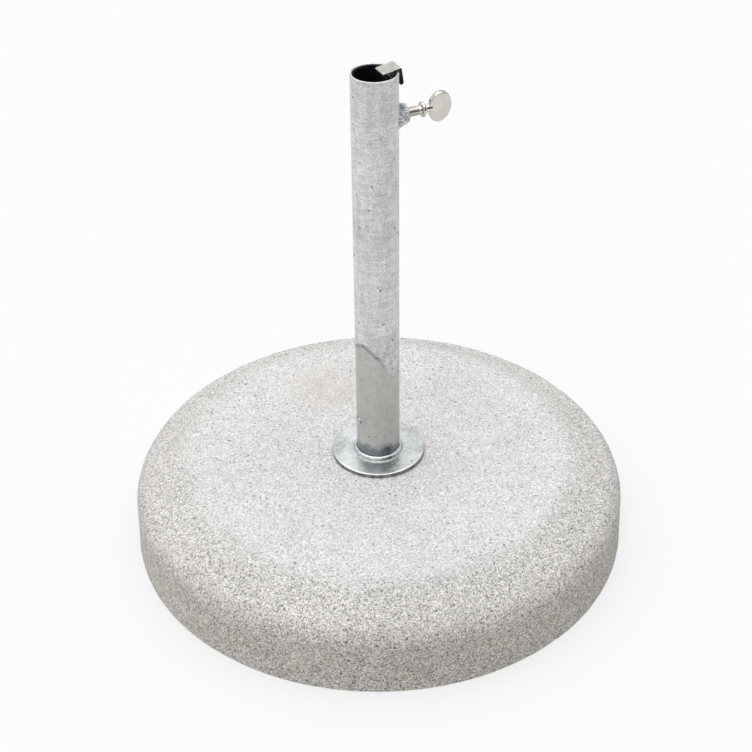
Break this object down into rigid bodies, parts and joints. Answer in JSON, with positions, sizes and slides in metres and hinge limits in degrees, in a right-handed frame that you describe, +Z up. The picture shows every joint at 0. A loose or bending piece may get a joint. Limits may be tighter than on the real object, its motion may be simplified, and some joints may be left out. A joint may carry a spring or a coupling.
{
  "type": "parasol base",
  "caption": "Parasol base: a round cast concrete disc with a galvanised pole socket, a flange, a thumb screw and a sprung clamp strip.",
  "frame": {"origin": "centre of the disc's underside, on the floor, on the pipe's axis", "axes": "+Z up along the pipe; +X from the pipe's axis out along the thumb screw; +Y completes the right-handed frame"},
  "size_m": [0.5598, 0.5598, 0.5639],
  "materials": {
    "concrete": "matte",
    "galvanised_pipe": "satin",
    "zinc_plate": "gloss",
    "zinc_weld": "satin",
    "zinc_nut": "satin",
    "rebar": "matte",
    "bare_weld": "satin",
    "black_plastic": "matte",
    "nickel_plate": "gloss",
    "spring_steel": "satin"
  },
  "bodies": {
    "base": {"concrete_disc": "concrete", "standpipe": "galvanised_pipe", "flange_plate": "zinc_plate", "flange_weld": "zinc_weld", "anchor_bar_lower": "rebar", "anchor_bar_upper": "rebar", "anchor_welds": "bare_weld", "reinforcement_ring": "rebar", "ring_tacks": "bare_weld", "stop_pin": "zinc_plate", "stop_pin_welds": "zinc_weld", "liner_sleeve": "black_plastic", "weld_nut": "zinc_nut", "nut_weld": "zinc_weld"},
    "screw_carriage": {"shoulder_collar": "nickel_plate"},
    "thumb_screw": {"screw_shank": "nickel_plate", "thumb_disc": "nickel_plate"},
    "clamp": {"clamp_strip": "spring_steel"}
  },
  "joints": [
    {"name": "screw_travel", "type": "slide", "parent": "base", "child": "screw_carriage", "axis": [-1, 0, 0], "range_m": [-0.0003, 0.012]},
    {"name": "screw_turn", "type": "hinge", "parent": "screw_carriage", "child": "thumb_screw", "pos_m": [0.05, 0, 0.5105], "axis": [-1, 0, 0], "range_deg": [-72, 2880]},
    {"name": "clip_swing", "type": "hinge", "parent": "base", "child": "clamp", "pos_m": [0.02465, 0, 0.5458], "axis": [0, 1, 0], "range_deg": [-0.6, 19.6], "deforming": ["clamp_strip"]}
  ],
  "couplings": [
    {"joint": "screw_turn", "follows": "screw_travel", "rad_per_m": 4188.8},
    {"joint": "clip_swing", "follows": "screw_travel", "rad_per_m": 28.329}
  ]
}
